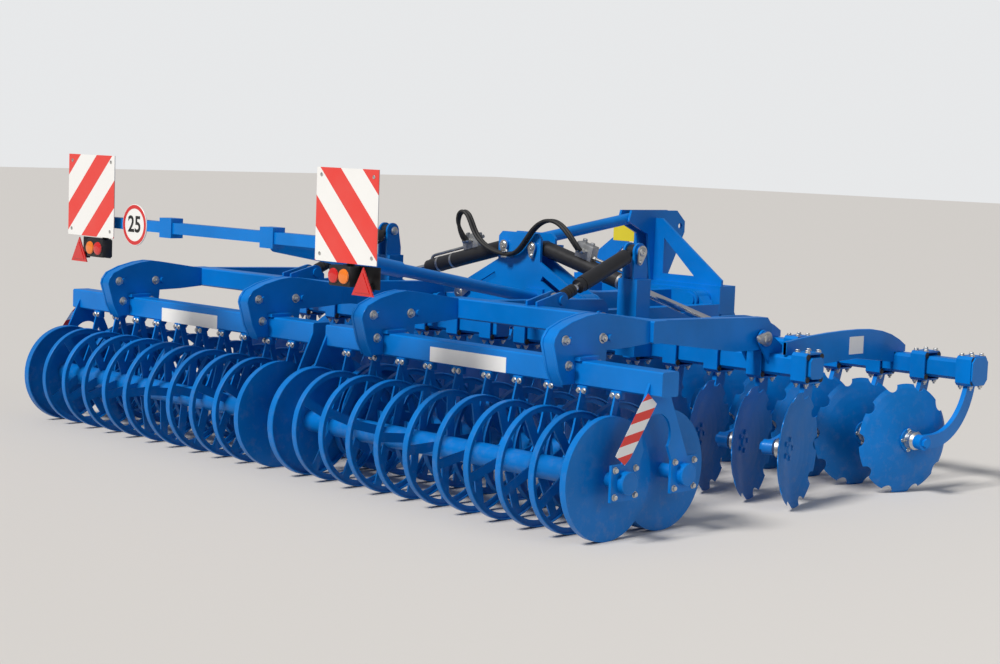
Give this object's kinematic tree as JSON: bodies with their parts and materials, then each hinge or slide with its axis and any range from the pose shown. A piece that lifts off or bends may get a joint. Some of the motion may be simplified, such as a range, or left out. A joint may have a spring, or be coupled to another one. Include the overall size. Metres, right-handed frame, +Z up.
{
  "type": "disc harrow",
  "caption": "Folding disc harrow with two rows of notched discs, double ring roller, three-point headstock and rear lights.",
  "frame": {"origin": "middle of the footprint on the ground", "axes": "+X to the right seen from behind, +Y ahead towards the tractor, +Z up"},
  "size_m": [4.34, 3.277, 1.425],
  "materials": {
    "blue_paint": "glossy paint",
    "roller_blue": "glossy paint, dusty",
    "disc_blue": "glossy paint, dusty",
    "black_paint": "satin paint",
    "chrome": "polished",
    "rubber": "matt",
    "board": "retroreflective stripes",
    "lamp": "glossy",
    "sign_white": "satin"
  },
  "bodies": {
    "centre": {"centre_frame": "blue_paint", "headstock": "blue_paint", "light_carrier": "blue_paint", "warning_boards": "board", "rear_lamps": "lamp", "speed_disc": "sign_white", "hoses": "rubber"},
    "wing_r": {"wing_frame_r": "blue_paint", "disc_arms_r": "blue_paint"},
    "roller_unit_r": {"roller_frame_r": "blue_paint", "roller_beam_r": "blue_paint"},
    "roller_rear_r": {"roller_rear_r": "roller_blue"},
    "roller_front_r": {"roller_front_r": "roller_blue"},
    "fold_barrel_r": {"fold_barrel_r": "black_paint"},
    "fold_rod_r": {"fold_rod_r": "chrome"},
    "depth_barrel_r": {"depth_barrel_r": "black_paint"},
    "depth_rod_r": {"depth_rod_r": "chrome"},
    "wing_l": {"wing_frame_l": "blue_paint", "disc_arms_l": "blue_paint"},
    "roller_unit_l": {"roller_frame_l": "blue_paint", "roller_beam_l": "blue_paint"},
    "roller_rear_l": {"roller_rear_l": "roller_blue"},
    "roller_front_l": {"roller_front_l": "roller_blue"},
    "fold_barrel_l": {"fold_barrel_l": "black_paint"},
    "fold_rod_l": {"fold_rod_l": "chrome"},
    "depth_barrel_l": {"depth_barrel_l": "black_paint"},
    "depth_rod_l": {"depth_rod_l": "chrome"},
    "disc_front_r1": {"disc_front_r1": "disc_blue"},
    "disc_front_r2": {"disc_front_r2": "disc_blue"},
    "disc_front_r3": {"disc_front_r3": "disc_blue"},
    "disc_front_r4": {"disc_front_r4": "disc_blue"},
    "disc_front_r5": {"disc_front_r5": "disc_blue"},
    "disc_front_r6": {"disc_front_r6": "disc_blue"},
    "disc_front_r7": {"disc_front_r7": "disc_blue"},
    "disc_front_r8": {"disc_front_r8": "disc_blue"},
    "disc_front_l1": {"disc_front_l1": "disc_blue"},
    "disc_front_l2": {"disc_front_l2": "disc_blue"},
    "disc_front_l3": {"disc_front_l3": "disc_blue"},
    "disc_front_l4": {"disc_front_l4": "disc_blue"},
    "disc_front_l5": {"disc_front_l5": "disc_blue"},
    "disc_front_l6": {"disc_front_l6": "disc_blue"},
    "disc_front_l7": {"disc_front_l7": "disc_blue"},
    "disc_front_l8": {"disc_front_l8": "disc_blue"},
    "disc_rear_r1": {"disc_rear_r1": "disc_blue"},
    "disc_rear_r2": {"disc_rear_r2": "disc_blue"},
    "disc_rear_r3": {"disc_rear_r3": "disc_blue"},
    "disc_rear_r4": {"disc_rear_r4": "disc_blue"},
    "disc_rear_r5": {"disc_rear_r5": "disc_blue"},
    "disc_rear_r6": {"disc_rear_r6": "disc_blue"},
    "disc_rear_r7": {"disc_rear_r7": "disc_blue"},
    "disc_rear_r8": {"disc_rear_r8": "disc_blue"},
    "disc_rear_l1": {"disc_rear_l1": "disc_blue"},
    "disc_rear_l2": {"disc_rear_l2": "disc_blue"},
    "disc_rear_l3": {"disc_rear_l3": "disc_blue"},
    "disc_rear_l4": {"disc_rear_l4": "disc_blue"},
    "disc_rear_l5": {"disc_rear_l5": "disc_blue"},
    "disc_rear_l6": {"disc_rear_l6": "disc_blue"},
    "disc_rear_l7": {"disc_rear_l7": "disc_blue"},
    "disc_rear_l8": {"disc_rear_l8": "disc_blue"}
  },
  "joints": [
    {"name": "fold_r", "type": "hinge", "parent": "centre", "child": "wing_r", "pos_m": [0.42, 0.4045, 0.76], "axis": [0, -1, 0], "range_deg": [0, 90]},
    {"name": "roller_depth_r", "type": "hinge", "parent": "wing_r", "child": "roller_unit_r", "pos_m": [1.089, 0.2735, 0.712], "axis": [-1, 0, 0], "range_deg": [-4, 4]},
    {"name": "roller_rear_r_spin", "type": "hinge", "parent": "roller_unit_r", "child": "roller_rear_r", "pos_m": [1.028, -1.1065, 0.25], "axis": [1, 0, 0], "continuous": true},
    {"name": "roller_front_r_spin", "type": "hinge", "parent": "roller_unit_r", "child": "roller_front_r", "pos_m": [1.028, -0.7465, 0.25], "axis": [1, 0, 0], "continuous": true},
    {"name": "fold_barrel_r_swing", "type": "hinge", "parent": "centre", "child": "fold_barrel_r", "pos_m": [0.1, 0.4045, 1.03], "axis": [0, -1, 0], "range_deg": [0, 74.8]},
    {"name": "fold_rod_r_slide", "type": "slide", "parent": "fold_barrel_r", "child": "fold_rod_r", "axis": [0.9697, 0, -0.2444], "range_m": [-0.53426, 0]},
    {"name": "depth_barrel_r_swing", "type": "hinge", "parent": "wing_r", "child": "depth_barrel_r", "pos_m": [0.88, 0.2235, 1.06], "axis": [-1, 0, 0], "range_deg": [-4, 4]},
    {"name": "depth_rod_r_slide", "type": "slide", "parent": "depth_barrel_r", "child": "depth_rod_r", "axis": [0, -0.9267, -0.3759], "range_m": [-0.026, 0.026]},
    {"name": "fold_l", "type": "hinge", "parent": "centre", "child": "wing_l", "pos_m": [-0.42, 0.4045, 0.76], "axis": [0, 1, 0], "range_deg": [0, 90]},
    {"name": "roller_depth_l", "type": "hinge", "parent": "wing_l", "child": "roller_unit_l", "pos_m": [-1.089, 0.2735, 0.712], "axis": [-1, 0, 0], "range_deg": [-4, 4]},
    {"name": "roller_rear_l_spin", "type": "hinge", "parent": "roller_unit_l", "child": "roller_rear_l", "pos_m": [-1.028, -1.1065, 0.25], "axis": [1, 0, 0], "continuous": true},
    {"name": "roller_front_l_spin", "type": "hinge", "parent": "roller_unit_l", "child": "roller_front_l", "pos_m": [-1.028, -0.7465, 0.25], "axis": [1, 0, 0], "continuous": true},
    {"name": "fold_barrel_l_swing", "type": "hinge", "parent": "centre", "child": "fold_barrel_l", "pos_m": [-0.1, 0.4045, 1.03], "axis": [0, 1, 0], "range_deg": [0, 74.8]},
    {"name": "fold_rod_l_slide", "type": "slide", "parent": "fold_barrel_l", "child": "fold_rod_l", "axis": [-0.9697, 0, -0.2444], "range_m": [-0.53426, 0]},
    {"name": "depth_barrel_l_swing", "type": "hinge", "parent": "wing_l", "child": "depth_barrel_l", "pos_m": [-0.88, 0.2235, 1.06], "axis": [-1, 0, 0], "range_deg": [-4, 4]},
    {"name": "depth_rod_l_slide", "type": "slide", "parent": "depth_barrel_l", "child": "depth_rod_l", "axis": [0, -0.9267, -0.3759], "range_m": [-0.026, 0.026]},
    {"name": "disc_front_r1_spin", "type": "hinge", "parent": "wing_r", "child": "disc_front_r1", "pos_m": [2.04, 0.8735, 0.255], "axis": [0.9563, -0.2924, 0], "continuous": true},
    {"name": "disc_front_r2_spin", "type": "hinge", "parent": "wing_r", "child": "disc_front_r2", "pos_m": [1.79, 0.8735, 0.255], "axis": [0.9563, -0.2924, 0], "continuous": true},
    {"name": "disc_front_r3_spin", "type": "hinge", "parent": "wing_r", "child": "disc_front_r3", "pos_m": [1.54, 0.8735, 0.255], "axis": [0.9563, -0.2924, 0], "continuous": true},
    {"name": "disc_front_r4_spin", "type": "hinge", "parent": "wing_r", "child": "disc_front_r4", "pos_m": [1.29, 0.8735, 0.255], "axis": [0.9563, -0.2924, 0], "continuous": true},
    {"name": "disc_front_r5_spin", "type": "hinge", "parent": "wing_r", "child": "disc_front_r5", "pos_m": [1.04, 0.8735, 0.255], "axis": [0.9563, -0.2924, 0], "continuous": true},
    {"name": "disc_front_r6_spin", "type": "hinge", "parent": "wing_r", "child": "disc_front_r6", "pos_m": [0.79, 0.8735, 0.255], "axis": [0.9563, -0.2924, 0], "continuous": true},
    {"name": "disc_front_r7_spin", "type": "hinge", "parent": "wing_r", "child": "disc_front_r7", "pos_m": [0.54, 0.8735, 0.255], "axis": [0.9563, -0.2924, 0], "continuous": true},
    {"name": "disc_front_r8_spin", "type": "hinge", "parent": "wing_r", "child": "disc_front_r8", "pos_m": [0.29, 0.8735, 0.255], "axis": [0.9563, -0.2924, 0], "continuous": true},
    {"name": "disc_front_l1_spin", "type": "hinge", "parent": "wing_l", "child": "disc_front_l1", "pos_m": [-0.21, 0.8735, 0.255], "axis": [0.9563, -0.2924, 0], "continuous": true},
    {"name": "disc_front_l2_spin", "type": "hinge", "parent": "wing_l", "child": "disc_front_l2", "pos_m": [-0.46, 0.8735, 0.255], "axis": [0.9563, -0.2924, 0], "continuous": true},
    {"name": "disc_front_l3_spin", "type": "hinge", "parent": "wing_l", "child": "disc_front_l3", "pos_m": [-0.71, 0.8735, 0.255], "axis": [0.9563, -0.2924, 0], "continuous": true},
    {"name": "disc_front_l4_spin", "type": "hinge", "parent": "wing_l", "child": "disc_front_l4", "pos_m": [-0.96, 0.8735, 0.255], "axis": [0.9563, -0.2924, 0], "continuous": true},
    {"name": "disc_front_l5_spin", "type": "hinge", "parent": "wing_l", "child": "disc_front_l5", "pos_m": [-1.21, 0.8735, 0.255], "axis": [0.9563, -0.2924, 0], "continuous": true},
    {"name": "disc_front_l6_spin", "type": "hinge", "parent": "wing_l", "child": "disc_front_l6", "pos_m": [-1.46, 0.8735, 0.255], "axis": [0.9563, -0.2924, 0], "continuous": true},
    {"name": "disc_front_l7_spin", "type": "hinge", "parent": "wing_l", "child": "disc_front_l7", "pos_m": [-1.71, 0.8735, 0.255], "axis": [0.9563, -0.2924, 0], "continuous": true},
    {"name": "disc_front_l8_spin", "type": "hinge", "parent": "wing_l", "child": "disc_front_l8", "pos_m": [-1.96, 0.8735, 0.255], "axis": [0.9563, -0.2924, 0], "continuous": true},
    {"name": "disc_rear_r1_spin", "type": "hinge", "parent": "wing_r", "child": "disc_rear_r1", "pos_m": [1.9, 0.1335, 0.255], "axis": [-0.9563, -0.2924, 0], "continuous": true},
    {"name": "disc_rear_r2_spin", "type": "hinge", "parent": "wing_r", "child": "disc_rear_r2", "pos_m": [1.65, 0.1335, 0.255], "axis": [-0.9563, -0.2924, 0], "continuous": true},
    {"name": "disc_rear_r3_spin", "type": "hinge", "parent": "wing_r", "child": "disc_rear_r3", "pos_m": [1.4, 0.1335, 0.255], "axis": [-0.9563, -0.2924, 0], "continuous": true},
    {"name": "disc_rear_r4_spin", "type": "hinge", "parent": "wing_r", "child": "disc_rear_r4", "pos_m": [1.15, 0.1335, 0.255], "axis": [-0.9563, -0.2924, 0], "continuous": true},
    {"name": "disc_rear_r5_spin", "type": "hinge", "parent": "wing_r", "child": "disc_rear_r5", "pos_m": [0.9, 0.1335, 0.255], "axis": [-0.9563, -0.2924, 0], "continuous": true},
    {"name": "disc_rear_r6_spin", "type": "hinge", "parent": "wing_r", "child": "disc_rear_r6", "pos_m": [0.65, 0.1335, 0.255], "axis": [-0.9563, -0.2924, 0], "continuous": true},
    {"name": "disc_rear_r7_spin", "type": "hinge", "parent": "wing_r", "child": "disc_rear_r7", "pos_m": [0.4, 0.1335, 0.255], "axis": [-0.9563, -0.2924, 0], "continuous": true},
    {"name": "disc_rear_r8_spin", "type": "hinge", "parent": "wing_r", "child": "disc_rear_r8", "pos_m": [0.15, 0.1335, 0.255], "axis": [-0.9563, -0.2924, 0], "continuous": true},
    {"name": "disc_rear_l1_spin", "type": "hinge", "parent": "wing_l", "child": "disc_rear_l1", "pos_m": [-0.1, 0.1335, 0.255], "axis": [-0.9563, -0.2924, 0], "continuous": true},
    {"name": "disc_rear_l2_spin", "type": "hinge", "parent": "wing_l", "child": "disc_rear_l2", "pos_m": [-0.35, 0.1335, 0.255], "axis": [-0.9563, -0.2924, 0], "continuous": true},
    {"name": "disc_rear_l3_spin", "type": "hinge", "parent": "wing_l", "child": "disc_rear_l3", "pos_m": [-0.6, 0.1335, 0.255], "axis": [-0.9563, -0.2924, 0], "continuous": true},
    {"name": "disc_rear_l4_spin", "type": "hinge", "parent": "wing_l", "child": "disc_rear_l4", "pos_m": [-0.85, 0.1335, 0.255], "axis": [-0.9563, -0.2924, 0], "continuous": true},
    {"name": "disc_rear_l5_spin", "type": "hinge", "parent": "wing_l", "child": "disc_rear_l5", "pos_m": [-1.1, 0.1335, 0.255], "axis": [-0.9563, -0.2924, 0], "continuous": true},
    {"name": "disc_rear_l6_spin", "type": "hinge", "parent": "wing_l", "child": "disc_rear_l6", "pos_m": [-1.35, 0.1335, 0.255], "axis": [-0.9563, -0.2924, 0], "continuous": true},
    {"name": "disc_rear_l7_spin", "type": "hinge", "parent": "wing_l", "child": "disc_rear_l7", "pos_m": [-1.6, 0.1335, 0.255], "axis": [-0.9563, -0.2924, 0], "continuous": true},
    {"name": "disc_rear_l8_spin", "type": "hinge", "parent": "wing_l", "child": "disc_rear_l8", "pos_m": [-1.85, 0.1335, 0.255], "axis": [-0.9563, -0.2924, 0], "continuous": true}
  ],
  "couplings": [
    {"joint": "fold_barrel_r_swing", "follows": "fold_r", "ratio": 0.83098},
    {"joint": "fold_rod_r_slide", "follows": "fold_r", "m_per_rad": -0.34006},
    {"joint": "depth_barrel_r_swing", "follows": "roller_depth_r", "ratio": 0.85297},
    {"joint": "depth_rod_r_slide", "follows": "roller_depth_r", "m_per_rad": -0.3411},
    {"joint": "fold_barrel_l_swing", "follows": "fold_l", "ratio": 0.83098},
    {"joint": "fold_rod_l_slide", "follows": "fold_l", "m_per_rad": -0.34006},
    {"joint": "depth_barrel_l_swing", "follows": "roller_depth_l", "ratio": 0.85297},
    {"joint": "depth_rod_l_slide", "follows": "roller_depth_l", "m_per_rad": -0.3411}
  ]
}
